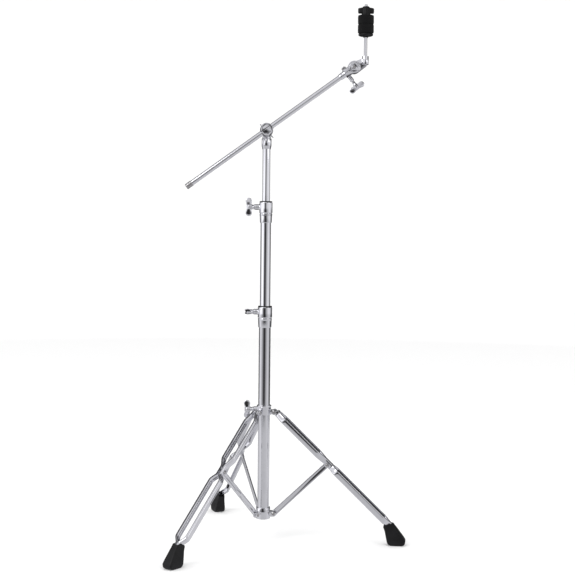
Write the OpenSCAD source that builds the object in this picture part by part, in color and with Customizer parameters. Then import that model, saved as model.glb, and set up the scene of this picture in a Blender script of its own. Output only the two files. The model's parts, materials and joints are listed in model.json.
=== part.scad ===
// Cymbal boom stand: a folding tripod, three telescoping tubes, a tilting boom
// and a cymbal holder. Millimetres, +Z up, +X along the boom, origin on the floor
// under the axis of the tubes.

/* [Tripod] */
// Distance of the leg and stay pivots outside the base tube
pivot_off = 11.7; // [11:0.1:18]
// Height of the stay pivots above the floor
hub_pivot_z = 66; // [50:1:75]
// Length of a stay between its pivots, and of a leg's upper half
stay_len = 182.35; // [150:0.05:220]
// Angle between a leg and the tube when the stand is open
leg_angle = 46.2; // [40:0.1:56]
// Turn of the second leg about the tube, from the boom's side
leg_turn = -8; // [-60:1:60]
// Width of a stay
stay_w = 13.5; // [10:0.5:16]
// Thickness of a stay
stay_t = 3; // [2:0.25:4]
// Diameter of the leg and stay rivets
rivet_d = 5; // [4:0.5:6]

/* [Leg bars] */
// Depth of a leg bar, seen from the side of the leg
bar_depth = 14.5; // [10:0.5:15]
// Width of a leg bar's section, across the leg
bar_w = 6; // [5:0.5:8]
// Wall of the formed leg bar
bar_wall = 1.6; // [1:0.1:2.5]
// Rise of a bar's middle above the line of its pivots
bar_rise = 3.2; // [2:0.5:5]
// Clear width between the two bars of a leg where they run apart
bar_gap = 25; // [18:1:32]
// Distance from the top pivot to where the bars have come apart
loop_top = 36; // [30:1:45]
// Length over which the bars close on the stay, before the middle pivot
waist_close = 26; // [18:1:32]
// Half length of the closed waist
waist_half = 12; // [10:1:16]
// Length over which the bars open again below the waist
waist_open = 18; // [14:1:26]

/* [Feet] */
// Width of a rubber foot at its sole
foot_w = 26; // [24:1:36]
// Wall of a rubber foot at its mouth
foot_wall = 1.6; // [1.2:0.1:3]
// Length of the flat of the sole
sole_len = 18; // [14:1:22]
// Height of a rubber foot
foot_h = 54; // [48:1:60]
// Height at which a leg's pivot line passes over the middle of the sole
foot_line_z = 28; // [24:1:32]

/* [Tubes] */
// Outside diameter of the upper tube
upper_tube_d = 19.05; // [16:0.05:24]
// Step from the upper tube's outside diameter up to the middle tube's
mid_step = 6.35; // [5.2:0.05:9]
// Step from the middle tube's outside diameter up to the base tube's
base_step = 3.2; // [3:0.1:6]
// Wall of the tubes
tube_wall = 1.2; // [0.8:0.1:1.4]
// Height of the lower end of the base tube
base_tube_z = 57; // [55:1:60]
// Height of the lower end of the lower tube clamp
lower_clamp_z = 526; // [470:1:600]
// Length of middle tube that shows between the clamps
mid_show = 203; // [120:1:260]
// Length of upper tube that shows above the upper clamp
upper_show = 126.5; // [80:1:180]
// Length of middle tube held inside the base tube
mid_inside = 100; // [70:1:180]
// Length of upper tube held inside the middle tube
upper_inside = 180; // [70:1:240]

/* [Tube clamps] */
// Height of a tube clamp with its bush
clamp_h = 53; // [45:1:65]
// Height of a tube clamp's lower, tapered part
ferrule_h = 22.5; // [18:0.5:26]
// Wall of the lower clamp about the base tube
lower_clamp_wall = 3.2; // [2.6:0.1:6]
// Wall of the upper clamp about the middle tube
upper_clamp_wall = 3.3; // [2.6:0.1:6]
// Wall of a nylon bush
bush_wall = 2.5; // [1.5:0.1:3]
// Thickness of a bush's lip
bush_lip = 1.8; // [1:0.1:3]

/* [Wing screws] */
// Thread diameter of the wing screws
screw_d = 8; // [6:0.5:8]
// Span of the wings
wing_span = 45; // [36:1:50]
// Thickness of a wing
wing_t = 4.5; // [3:0.5:6]
// Length of a wing screw's head along its axis
wing_len = 17; // [14:0.5:20]
// Length of a screw boss outside the lower clamp
boss_len = 9.9; // [9:0.1:14]
// Distance from the outer end of that boss to the wings
wing_off = 6.1; // [5:0.1:14]

/* [Leg collar and hub] */
// Wall of the leg collar and of the hub, outside the base tube
collar_wall = 2.9; // [2.4:0.1:5]
// Height of the leg collar
collar_h = 23; // [20:1:28]
// Depth of the collar below its pivots
collar_drop = 7; // [6.5:0.5:9]
// Thickness of a collar lug
lug_t = 7; // [5:0.5:8]
// Height of the hub
hub_h = 27; // [20:1:30]
// Depth of the hub below its pivots
hub_drop = 12; // [9:0.5:13]
// Thickness of each ear of the hub
hub_ear_t = 3.5; // [3:0.25:5]

/* [Boom] */
// Angle of the boom above level
boom_angle = 35.95; // [20:0.05:50]
// Diameter of the boom rod
boom_d = 12.7; // [7.5:0.1:14]
// Length of the boom from the clamp to its tail
boom_tail = 239; // [180:1:320]
// Length of the boom from the clamp to the cymbal tilter's axis
boom_reach = 259; // [200:1:340]
// Clear metal of the drum behind the boom's bore
drum_back_wall = 4.39; // [4.3:0.01:8]
// Height of the neck between the sleeve and the drum
neck_h = 3.5; // [3:0.5:10]
// Diameter of the boom clamp's drum
drum_d = 32; // [28:1:36]
// Wall of the sleeve on the upper tube
sleeve_wall = 2.475; // [2:0.005:4]
// Length of that sleeve
sleeve_h = 26; // [22:1:32]
// Length of the tail cap
tail_cap_len = 17; // [12:1:24]

/* [Cymbal tilter] */
// Diameter of the tilter's drum
tilt_drum_d = 21; // [16:0.5:27]
// Wall of the tilter's split ring about that drum
ring_wall = 4.94; // [4:0.01:8]
// Distance of the pinch bolt behind the split ring
pinch_back = 6.5; // [6:0.5:9]
// Distance of the cymbal rod's socket in front of the split ring
socket_front = 3.75; // [3:0.25:10]
// Wall of the rod's socket
socket_wall = 3.75; // [2.5:0.25:5]

/* [Cymbal seat] */
// Diameter of the threaded cymbal rod
post_d = 8; // [6:0.1:10]
// Height of the seat above the tilter's axis
seat_rise = 75; // [50:1:110]
// Diameter of the seat washer
seat_d = 35.6; // [30:0.2:38]
// Diameter of the felts
felt_d = 38.6; // [36:1:46]
// Thickness of each felt
felt_t = 21.2; // [15:0.1:25]
// Width of the cymbal wing nut
nut_w = 38.6; // [32:0.2:47]
// Height of the cymbal wing nut
nut_h = 21; // [18:0.5:25]
// Length of rod above the wing nut
rod_tip = 5; // [3:0.5:12]

/* [Hidden] */
$fn = 64;
run_gap = 0.06;    // radial gap of a turning or sliding fit
seat_gap = 0.02;   // radial gap of a piece pressed or screwed home
face_gap = 0.3;    // gap between flat faces that turn past each other
open_gap = 0.3;    // radial gap at the open pivots of the folding linkage
cut = 1;           // overrun of a cut
chrome = [0.80, 0.81, 0.84];
dark_chrome = [0.62, 0.63, 0.66];
black = [0.08, 0.08, 0.09];
rivet_r = rivet_d / 2;
screw_r = screw_d / 2;
rise = 2 * stay_len * cos(leg_angle);
collar_z = hub_pivot_z + rise;
upper_r = upper_tube_d / 2;
mid_r = upper_r + mid_step / 2;
base_r = mid_r + base_step / 2;
pivot_r = base_r + pivot_off;
lower_clamp_r = base_r + lower_clamp_wall;
upper_clamp_r = mid_r + upper_clamp_wall;
collar_r = base_r + collar_wall;
lower_top = lower_clamp_z + clamp_h;
upper_clamp_z = lower_top + mid_show;
upper_top = upper_clamp_z + clamp_h;
seam_h = 3;         // how far a clamped tube stands above the ferrule
sleeve_z = upper_top + upper_show;
sleeve_top = sleeve_z + sleeve_h;
sleeve_r = upper_r + sleeve_wall;
sleeve_cap = 4;     // closed end of the sleeve above the upper tube
boom_z = sleeve_top + neck_h + drum_d / 2;

// screws
boss_r = screw_r + 2.8;
boss_reach = lower_clamp_r + boss_len;
collar_boss_reach = boss_reach - 2;
wing_reach = boss_reach + wing_off;
screw_z = clamp_h * 0.73;
flange_t = 2.4;
flange_rim = 2.2;
lower_screw_turn = 70;

// hub, collar and its nylon liner
hub_ear_r = 7;
hub_slot_gap = 0.6;
hub_lug_w = stay_t + face_gap + 2 * hub_ear_t;
collar_ear_r = 6;
collar_band = 2.5;
plug_flange = 4;
plug_depth = 12;
liner_gap = 0.25;
liner_wall = 0.85;
liner_short = 0.5;  // how far the liner stops inside each end of the collar
liner_r = base_r + liner_gap;
liner_hole_gap = 0.4;
collar_bore_r = liner_r + liner_wall + seat_gap;
collar_low = collar_z - collar_drop;
collar_screw_z = collar_z + 6;
collar_screw_tip = liner_r + 0.05;

// boom clamp: everything is stacked along Y, from the tubes' plane to the front
upright_t = 10;
upright_d = drum_d - 2;
upright_foot = 1.8;
friction_t = 2;
boom_bush_wall = 1;
boom_bush_r = boom_d / 2 + run_gap + boom_bush_wall;
drum_back = upright_t / 2 + friction_t + face_gap;
boom_off = drum_back + drum_back_wall + boom_bush_r;
drum_front = boom_off + boom_bush_r + 4.19;
bush_len = drum_d - 2;
stud_gap = 0.5;
stud_len = 26;
groove_t = 0.8;
slit_w = 1.4;
slit_z = 2.6;
cap_wall = 0.8;
cap_floor = 4;

// cymbal tilter
ring_r = tilt_drum_d / 2 + run_gap + ring_wall;
ring_d = 2 * ring_r;
socket_mouth = 5;
socket_near = ring_r + 26.5;  // from the tilter's axis to the mouth of the boom's socket
socket_far = ring_r + 10.5;   // from the tilter's axis to the end of the boom rod
socket_skin = 1.6;
ring_w = boom_d + 2 * socket_skin;
pinch_off = ring_r + pinch_back;
pinch_r = 3;
pinch_rim = 1.8;
lip_len = 11;
lip_h = boom_d + 7.5;
lip_slit = 1.8;
pinch_nut_t = 5;
pinch_top = lip_h / 2 + pinch_nut_t + 1.5;
pinch_len = 12;
arm_t = 6;
arm_d = ring_d - 2;
socket_r = post_d / 2 + socket_wall;
post_off = ring_r + socket_front + socket_r;
socket_low = 8;
socket_high = 27;
socket_floor = 2;
tilt_screw_r = 2;
tilt_screw_len = 10;
tilt_head_r = 4;
cap_seat = 1.8;

// cymbal seat
seat_z = seat_rise;           // underside of the seat washer
seat_t = 5.5;
seat_sleeve_r = post_d / 2 + 2.3;
sleeve_rim = 3;
sleeve_rim_t = 1.5;
felt_bore_r = seat_sleeve_r + 0.1;
felt_rim = 0.2;
felt_part = 0.5;              // gap between the two felts, where a cymbal goes
felt_z = seat_z + seat_t + sleeve_rim_t;
nut_z = felt_z + 2 * felt_t + felt_part + face_gap;
nut_hub_r = post_d / 2 + 6.8;
nut_t = 13;
nut_top = nut_z + nut_h;
tip_d = post_d - 1.2;

function leg_az(i) = leg_turn - 120 * (2 - i);
function ease(t) = t * t * (3 - 2 * t);
function lerp(a, b, t) = a + (b - a) * t;
// Points of one bend of a bar: from half gap g0 at x0 to half gap g1 at x1
function bend(x0, x1, g0, g1, n = 7) =
    [for (k = [0:n]) [lerp(x0, x1, k / n), lerp(g0, g1, ease(k / n))]];

// Places along a leg, from its top pivot
half_foot = 0.6;
foot_mouth = (collar_z - foot_h) / cos(leg_angle);
bar_end = foot_mouth + 16 / cos(leg_angle);   // inside the foot
foot_close = foot_mouth + 5 / cos(leg_angle);
foot_open = foot_close - 20;
pocket_x = foot_mouth - 14;
pocket_gap = 0.3;
pocket_y = half_foot + bar_w + pocket_gap;
mouth_y = pocket_y + foot_wall;
half_top = lug_t / 2 + face_gap / 2;
half_full = bar_gap / 2;
half_waist = stay_t / 2 + face_gap / 2;
ear_r = rivet_r + 4;
bar_start = 8;
bar_low = bar_rise - bar_depth / 2;
bar_inner = concat(
    bend(bar_start, loop_top, half_top, half_full),
    bend(stay_len - waist_half - waist_close, stay_len - waist_half, half_full, half_waist),
    bend(stay_len + waist_half, stay_len + waist_half + waist_open, half_waist, half_full),
    bend(foot_open, foot_close, half_full, half_foot),
    [[bar_end, half_foot]]);
foot_r = pivot_r + (collar_z - foot_line_z) * tan(leg_angle);

// ---- placing ----

module on_leg(i) {
    rotate([0, 0, leg_az(i)]) translate([pivot_r, 0, collar_z])
        rotate([0, 90 - leg_angle, 0]) children();
}

// A cylinder across a leg or a lug, centred on the leg's plane
module across(r, w) {
    rotate([90, 0, 0]) cylinder(r = r, h = w, center = true);
}

// ---- general pieces ----

module tube(r, z0, z1) {
    difference() {
        translate([0, 0, z0]) cylinder(r = r, h = z1 - z0);
        translate([0, 0, z0 - cut]) cylinder(r = r - tube_wall, h = z1 - z0 + 2 * cut);
    }
}

// Rivet across a leg: shank w long between the heads
module rivet(w) {
    head_r = rivet_r * 1.7;
    head_t = 1.8;
    rotate([90, 0, 0]) rotate_extrude() polygon([
        [0, -w / 2 - head_t], [head_r * 0.6, -w / 2 - head_t], [head_r, -w / 2 - head_t * 0.35],
        [head_r, -w / 2], [rivet_r, -w / 2], [rivet_r, w / 2], [head_r, w / 2],
        [head_r, w / 2 + head_t * 0.35], [head_r * 0.6, w / 2 + head_t], [0, w / 2 + head_t]]);
}

// Outline of a pair of wings: x across, y along the screw's axis
module wing_outline(span, len) {
    lobe_r = len * 0.47;
    for (side = [-1, 1]) translate([side * (span / 2 - lobe_r), 0]) circle(r = lobe_r);
    polygon([[-span / 2 + lobe_r, -lobe_r * 0.92], [span / 2 - lobe_r, -lobe_r * 0.92],
        [span / 2 - lobe_r, lobe_r * 0.45], [0, lobe_r * 0.1], [-span / 2 + lobe_r, lobe_r * 0.45]]);
}

// Wing screw: axis +Z, tip at z = 0, wings from z = reach on
module wing_screw(r, reach, span, len, flange_z) {
    union() {
        cylinder(r = r, h = reach + cut);
        translate([0, 0, flange_z]) cylinder(r = r + flange_rim, h = flange_t);
        translate([0, 0, reach - 4]) cylinder(r1 = r + 0.4, r2 = r + 2, h = 4);
        translate([0, 0, reach]) cylinder(r = r + 2, h = len * 0.62);
        translate([0, 0, reach + len / 2]) rotate([90, 0, 0])
            linear_extrude(height = wing_t, center = true) wing_outline(span, len);
    }
}

// ---- base section ----

module base_tube() {
    color(chrome) tube(base_r, base_tube_z, lower_clamp_z + ferrule_h + seam_h);
}

module tube_plug() {
    color(black) union() {
        translate([0, 0, base_tube_z - plug_flange]) cylinder(r = base_r, h = plug_flange);
        translate([0, 0, base_tube_z - cut])
            cylinder(r = base_r - tube_wall - seat_gap, h = plug_depth + cut);
    }
}

module hub() {
    slot_r = pivot_r - stay_w / 2 - hub_slot_gap;
    slot_w = stay_t + face_gap;
    color(chrome) difference() {
        union() {
            translate([0, 0, hub_pivot_z - hub_drop]) cylinder(r = collar_r, h = hub_h);
            for (i = [1:3]) rotate([0, 0, leg_az(i)]) {
                translate([base_r, -hub_lug_w / 2, hub_pivot_z - hub_ear_r])
                    cube([pivot_r - base_r, hub_lug_w, 2 * hub_ear_r]);
                translate([pivot_r, 0, hub_pivot_z]) across(hub_ear_r, hub_lug_w);
            }
        }
        cylinder(r = base_r + seat_gap, h = hub_pivot_z + hub_h);
        for (i = [1:3]) rotate([0, 0, leg_az(i)]) {
            translate([slot_r, -slot_w / 2, hub_pivot_z - hub_ear_r - cut])
                cube([pivot_r, slot_w, hub_h + hub_ear_r]);
            translate([pivot_r, 0, hub_pivot_z]) across(rivet_r + seat_gap, hub_lug_w + 2 * cut);
        }
    }
}

module hub_rivets() {
    color(dark_chrome) for (i = [1:3]) rotate([0, 0, leg_az(i)])
        translate([pivot_r, 0, hub_pivot_z]) rivet(hub_lug_w);
}

// Clamp casting with its lower end at z = 0: outer tube below, bush above
module tube_clamp(outer_r, inner_r, r) {
    bore_r = inner_r + run_gap + bush_wall + run_gap;
    top = clamp_h - bush_lip - face_gap;
    joint = ferrule_h + seam_h;
    difference() {
        union() {
            rotate_extrude() polygon([
                [outer_r - 0.4, 0], [outer_r + 1.1, 0], [outer_r + 1.6, 1],
                [r - 0.5, ferrule_h - 4], [r - 0.3, ferrule_h - 0.8], [r - 1, ferrule_h],
                [r - 1, ferrule_h + 1.6], [r, ferrule_h + 2.4], [r, top - 1], [r - 0.8, top],
                [outer_r - 0.4, top]]);
            translate([-boss_reach, 0, screw_z]) rotate([0, 90, 0])
                cylinder(r = boss_r, h = boss_reach - bore_r);
            cylinder(r = outer_r, h = top);
        }
        translate([0, 0, -cut]) cylinder(r = outer_r + seat_gap, h = joint + cut);
        cylinder(r = bore_r, h = clamp_h);
        translate([-boss_reach - cut, 0, screw_z]) rotate([0, 90, 0])
            cylinder(r = screw_r + run_gap, h = boss_reach);
    }
}

// Split-free nylon bush that the inner tube slides in
module bush(inner_r, casting_r) {
    lip_r = casting_r - 0.6;
    in_r = inner_r + run_gap;
    out_r = in_r + bush_wall;
    low = ferrule_h + seam_h + face_gap;
    top = clamp_h - bush_lip;
    rotate_extrude() polygon([
        [in_r, low], [out_r, low], [out_r, top], [lip_r, top],
        [lip_r, clamp_h - 0.6], [lip_r - 0.6, clamp_h], [in_r, clamp_h]]);
}

module clamp_screw(inner_r, turn) {
    tip = inner_r + run_gap + bush_wall + face_gap;
    translate([-tip, 0, screw_z]) rotate([0, -90, 0]) rotate([0, 0, turn])
        wing_screw(screw_r, wing_reach - tip, wing_span, wing_len, boss_reach - tip + face_gap);
}

module lower_clamp() {
    color(chrome) translate([0, 0, lower_clamp_z]) tube_clamp(base_r, mid_r, lower_clamp_r);
}

// ---- leg collar ----

module leg_collar() {
    color(chrome) difference() {
        union() {
            translate([0, 0, collar_low]) cylinder(r = collar_r, h = collar_h);
            translate([0, 0, collar_low + collar_h - collar_band])
                cylinder(r = collar_r + 0.5, h = collar_band);
            for (i = [1:3]) rotate([0, 0, leg_az(i)]) {
                translate([collar_bore_r, -lug_t / 2, collar_z - collar_ear_r])
                    cube([pivot_r - collar_bore_r, lug_t, 2 * collar_ear_r]);
                translate([pivot_r, 0, collar_z]) across(collar_ear_r, lug_t);
            }
            translate([-collar_boss_reach, 0, collar_screw_z]) rotate([0, 90, 0])
                cylinder(r = boss_r, h = collar_boss_reach - collar_bore_r);
        }
        translate([0, 0, collar_low - cut]) cylinder(r = collar_bore_r, h = collar_h + 2 * cut);
        for (i = [1:3]) rotate([0, 0, leg_az(i)])
            translate([pivot_r, 0, collar_z]) across(rivet_r + run_gap, lug_t + 2 * cut);
        translate([-boss_reach, 0, collar_screw_z]) rotate([0, 90, 0])
            cylinder(r = screw_r + run_gap, h = boss_reach);
    }
}

module collar_liner() {
    low = collar_low + liner_short;
    h = collar_h - 2 * liner_short;
    color(black) difference() {
        translate([0, 0, low]) cylinder(r = liner_r + liner_wall, h = h);
        translate([0, 0, low - cut]) cylinder(r = liner_r, h = h + 2 * cut);
        translate([-boss_reach, 0, collar_screw_z]) rotate([0, 90, 0])
            cylinder(r = screw_r + liner_hole_gap, h = boss_reach);
    }
}

module collar_screw() {
    color(chrome) translate([-collar_screw_tip, 0, collar_screw_z]) rotate([0, -90, 0])
        wing_screw(screw_r, wing_reach - collar_screw_tip, wing_span, wing_len,
            collar_boss_reach - collar_screw_tip + face_gap);
}

// ---- legs and stays ----

// One formed bar: open towards the other bar, with an ear at the top pivot
module bar(side) {
    inner = bar_inner;
    n = len(inner);
    waist_y = half_waist + bar_w;
    mirror([0, side < 0 ? 1 : 0, 0]) difference() {
        union() {
            translate([0, 0, bar_low]) difference() {
                linear_extrude(height = bar_depth) polygon(concat(inner,
                    [for (k = [n - 1:-1:0]) [inner[k][0], inner[k][1] + bar_w]]));
                translate([0, 0, bar_wall]) linear_extrude(height = bar_depth - 2 * bar_wall)
                    polygon(concat([for (p = inner) [p[0], p[1] - cut]],
                        [for (k = [n - 1:-1:0]) [inner[k][0], inner[k][1] + bar_w - bar_wall]]));
            }
            translate([0, half_top + bar_w, 0]) rotate([90, 0, 0]) linear_extrude(height = bar_w) {
                circle(r = ear_r);
                polygon([[-ear_r * 0.7, ear_r * 0.7], [-ear_r * 0.3, -ear_r * 0.9], [bar_start + 3, bar_low],
                    [bar_start + 3, bar_low + bar_depth], [4, bar_low + bar_depth]]);
            }
            translate([stay_len, half_waist + bar_w / 2, 0]) across(ear_r, bar_w);
        }
        across(rivet_r + seat_gap, 4 * bar_w);
        translate([stay_len, 0, 0]) across(rivet_r + seat_gap, 4 * waist_y);
    }
}

module leg_bar(i, side) {
    color(chrome) on_leg(i) bar(side);
}

module leg_rivets(i) {
    color(dark_chrome) on_leg(i) {
        rivet(2 * (half_top + bar_w));
        translate([stay_len, 0, 0]) rivet(2 * (half_waist + bar_w));
    }
}

module leg_foot(i) {
    color(black) difference() {
        rotate([0, 0, leg_az(i)]) translate([foot_r, 0, 0]) intersection() {
            rotate([90, 0, 0]) linear_extrude(height = foot_w + 4, center = true) polygon([
                [-sole_len / 2, 0], [sole_len / 2, 0], [sole_len / 2 + 6, 3.5],
                [sole_len / 2 + 11, 12], [-6, foot_h - 2.5], [-14, foot_h],
                [-31, foot_h - 9], [-22, 6]]);
            rotate([90, 0, 90]) linear_extrude(height = 120, center = true) polygon([
                [-foot_w / 2 + 1, 0], [foot_w / 2 - 1, 0], [foot_w / 2, 3], [foot_w / 2 - 0.5, 16],
                [mouth_y, foot_h - 6], [mouth_y - 0.6, foot_h],
                [-mouth_y + 0.6, foot_h], [-mouth_y, foot_h - 6],
                [-foot_w / 2 + 0.5, 16], [-foot_w / 2, 3]]);
        }
        on_leg(i) translate([pocket_x, -pocket_y, bar_low - pocket_gap])
            cube([bar_end + pocket_gap - pocket_x, 2 * pocket_y, bar_depth + 2 * pocket_gap]);
    }
}

module stay(i) {
    color(chrome) rotate([0, 0, leg_az(i)]) translate([pivot_r, 0, hub_pivot_z])
        rotate([0, leg_angle - 90, 0]) difference() {
            union() {
                across(stay_w / 2, stay_t);
                translate([stay_len, 0, 0]) across(stay_w / 2, stay_t);
                translate([0, -stay_t / 2, -stay_w / 2]) cube([stay_len, stay_t, stay_w]);
            }
            across(rivet_r + open_gap, 3 * stay_t);
            translate([stay_len, 0, 0]) across(rivet_r + run_gap, 3 * stay_t);
        }
}

// ---- middle section ----

module mid_tube() {
    color(chrome) tube(mid_r, lower_clamp_z - mid_inside, upper_clamp_z + ferrule_h + seam_h);
}

module upper_clamp() {
    color(chrome) translate([0, 0, upper_clamp_z]) tube_clamp(mid_r, upper_r, upper_clamp_r);
}

module lower_bush() {
    color(black) translate([0, 0, lower_clamp_z]) bush(mid_r, lower_clamp_r);
}

module lower_screw() {
    color(chrome) translate([0, 0, lower_clamp_z]) clamp_screw(mid_r, lower_screw_turn);
}

// ---- upper section ----

module upper_tube() {
    color(chrome) tube(upper_r, upper_clamp_z - upper_inside, sleeve_top - sleeve_cap);
}

module upper_bush() {
    color(black) translate([0, 0, upper_clamp_z]) bush(upper_r, upper_clamp_r);
}

module upper_screw() {
    color(chrome) translate([0, 0, upper_clamp_z]) clamp_screw(upper_r, 0);
}

module boom_base() {
    sr = sleeve_r;
    color(chrome) difference() {
        union() {
            translate([0, 0, sleeve_z]) rotate_extrude() polygon([
                [0, 0], [upper_r + 0.8, 0], [upper_r + 1.2, 1.5], [sr - 0.3, 7], [sr, 8],
                [sr, sleeve_h - 1.2], [sr - 1.2, sleeve_h], [sr - 2.4, sleeve_h + 0.8],
                [sr - 2.4, sleeve_h + 1.6], [sr - 1.2, sleeve_h + 2.2],
                [sr - 1.2, sleeve_h + neck_h - face_gap], [0, sleeve_h + neck_h - face_gap]]);
            translate([-sr + 2.4, -upright_t / 2, sleeve_top + upright_foot])
                cube([2 * sr - 4.8, upright_t, boom_z - sleeve_top - upright_foot]);
            translate([0, 0, boom_z]) across(upright_d / 2, upright_t);
        }
        translate([0, 0, sleeve_z - cut])
            cylinder(r = upper_r + seat_gap, h = sleeve_h - sleeve_cap + cut);
        translate([0, 0, boom_z]) across(screw_r + run_gap, 2 * upright_t);
    }
}

module friction_ring() {
    color(black) translate([0, -upright_t / 2 - friction_t / 2, boom_z]) difference() {
        across(upright_d / 2 - 1, friction_t);
        across(screw_r + 0.5, friction_t + 2);
    }
}

// ---- boom clamp ----

// Boom axis: +X runs along the boom from the clamp to the cymbal end
module on_boom() {
    translate([0, -boom_off, boom_z]) rotate([0, -boom_angle, 0]) children();
}

module boom_drum() {
    color(chrome) difference() {
        translate([0, -(drum_back + drum_front) / 2, boom_z])
            across(drum_d / 2, drum_front - drum_back);
        on_boom() rotate([0, 90, 0])
            cylinder(r = boom_bush_r + run_gap, h = 2 * drum_d, center = true);
        on_boom() translate([-drum_d, -drum_d, slit_z]) cube([2 * drum_d, drum_d, slit_w]);
        translate([0, groove_t - drum_front, boom_z]) difference() {
            across(drum_d / 2 - 3.2, 2 * groove_t);
            across(drum_d / 2 - 6.2, 3 * groove_t);
        }
        translate([0, 0, boom_z]) rotate([90, 0, 0])
            cylinder(r = screw_r + seat_gap, h = boom_off - boom_bush_r - stud_gap);
    }
}

module boom_stud() {
    low = boom_off - boom_bush_r - stud_gap - 0.2;
    color(dark_chrome) translate([0, -low, boom_z]) rotate([-90, 0, 0])
        cylinder(r = screw_r, h = low + stud_len);
}

module boom_wing_nut() {
    start = upright_t / 2 + face_gap;
    color(chrome) translate([0, start, boom_z]) rotate([-90, 0, 0])
        rotate([0, 0, 45]) difference() {
        union() {
            cylinder(r1 = screw_r + 4, r2 = screw_r + flange_rim, h = 6);
            cylinder(r = screw_r + flange_rim, h = 16);
            translate([0, 0, 6 + wing_len / 2]) rotate([90, 0, 0])
                linear_extrude(height = wing_t, center = true) wing_outline(wing_span + 2, wing_len);
        }
        translate([0, 0, -cut]) cylinder(r = screw_r + run_gap, h = wing_len * 2);
    }
}

module boom_bush() {
    color(black) on_boom() rotate([0, 90, 0]) difference() {
        cylinder(r = boom_bush_r, h = bush_len, center = true);
        cylinder(r = boom_d / 2 + run_gap, h = bush_len + 2, center = true);
    }
}

// ---- boom ----

module boom_rod() {
    color(chrome) on_boom() translate([cap_floor - boom_tail, 0, 0]) rotate([0, 90, 0])
        cylinder(d = boom_d, h = boom_tail - cap_floor + boom_reach - socket_far);
}

module tail_cap() {
    r = boom_d / 2 + cap_wall;
    color(dark_chrome) on_boom() translate([-boom_tail, 0, 0]) rotate([0, 90, 0]) difference() {
        rotate_extrude() polygon([
            [0, 0], [r - 1.4, 0], [r, 1.4], [r, tail_cap_len - 1],
            [r - 0.5, tail_cap_len], [0, tail_cap_len]]);
        translate([0, 0, cap_floor]) cylinder(r = boom_d / 2 + seat_gap, h = tail_cap_len);
    }
}

// Tilter frame: origin on the tilter's axis, +X along the boom
module on_tilter() {
    on_boom() translate([boom_reach, 0, 0]) children();
}

module tilter_clamp() {
    skin_r = boom_d / 2 + socket_skin;
    color(chrome) on_tilter() difference() {
        union() {
            across(ring_r, ring_w);
            translate([-socket_near, 0, 0]) rotate([0, 90, 0])
                cylinder(r1 = skin_r - 0.7, r2 = skin_r, h = socket_mouth);
            translate([socket_mouth - socket_near, 0, 0]) rotate([0, 90, 0])
                cylinder(r = skin_r, h = socket_near - socket_mouth - ring_r + 3);
            translate([-pinch_off - lip_len / 2, -ring_w / 2, -lip_h / 2])
                cube([pinch_off + lip_len / 2 - tilt_drum_d / 2 - 1, ring_w, lip_h]);
        }
        across(tilt_drum_d / 2 + run_gap, 2 * ring_w);
        translate([-socket_far - cut, -ring_w, -lip_slit / 2]) cube([socket_far, 2 * ring_w, lip_slit]);
        translate([-socket_near - cut, 0, 0]) rotate([0, 90, 0])
            cylinder(r = boom_d / 2 + seat_gap, h = socket_near - socket_far + cut + 0.2);
        translate([-pinch_off, 0, 0]) cylinder(r = pinch_r + run_gap, h = 2 * lip_h, center = true);
    }
}

// Pinch bolt: hangs from the lower lip, wings below
module tilter_bolt() {
    flange = pinch_top + lip_h / 2 + 11;
    color(chrome) on_tilter() translate([-pinch_off, 0, pinch_top]) rotate([180, 0, 0]) union() {
        wing_screw(pinch_r, pinch_top + 35, wing_span - 4, wing_len - 1, flange);
        translate([0, 0, pinch_top + lip_h / 2 + face_gap]) cylinder(r = pinch_r + pinch_rim, h = pinch_len);
    }
}

module tilter_nut() {
    color(dark_chrome) on_tilter() translate([-pinch_off, 0, lip_h / 2]) difference() {
        cylinder(r = pinch_r + 2.6, h = pinch_nut_t, $fn = 6);
        translate([0, 0, -cut]) cylinder(r = pinch_r + run_gap, h = pinch_nut_t + 2 * cut);
    }
}

// ---- cymbal holder ----

// Upright frame on the tilter's axis
module on_arm() {
    translate([boom_reach * cos(boom_angle), -boom_off, boom_z + boom_reach * sin(boom_angle)])
        children();
}

module tilter_arm() {
    plate_y = ring_w / 2 + face_gap;
    color(chrome) on_arm() difference() {
        union() {
            across(tilt_drum_d / 2, ring_w + 2 * face_gap);
            translate([0, plate_y + arm_t, 0]) rotate([90, 0, 0]) linear_extrude(height = arm_t) {
                circle(d = arm_d);
                polygon([[-2, arm_d / 2 - 0.2], [post_off - socket_r, socket_high - 4],
                    [post_off + socket_r, socket_high - 4], [post_off + socket_r, socket_low + 3],
                    [post_off + 3, socket_low - 4], [10, -arm_d / 2 + 3], [2, -arm_d / 2 + 0.2]]);
            }
            translate([post_off, 0, socket_low]) cylinder(r = socket_r, h = socket_high - socket_low);
            translate([post_off - socket_r, 0, socket_low])
                cube([2 * socket_r, plate_y + arm_t, socket_high - socket_low - 4]);
        }
        translate([post_off, 0, socket_low + socket_floor])
            cylinder(r = post_d / 2 + seat_gap, h = socket_high);
        translate([0, 3, 0]) rotate([90, 0, 0])
            cylinder(r = tilt_screw_r + seat_gap, h = ring_w + 3);
    }
}

module tilter_cap() {
    rim_r = tilt_drum_d / 2 + 1.8;
    color(chrome) on_arm() translate([0, -ring_w / 2 - face_gap, 0]) rotate([90, 0, 0]) difference() {
        rotate_extrude() polygon([[0, 0], [rim_r, 0], [rim_r, 1.6],
            [rim_r - 0.8, 2.6], [tilt_head_r + 2, 2.6], [tilt_head_r + 2, cap_seat], [0, cap_seat]]);
        translate([0, 0, -cut]) cylinder(r = tilt_screw_r + seat_gap, h = cap_seat + 4);
    }
}

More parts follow.
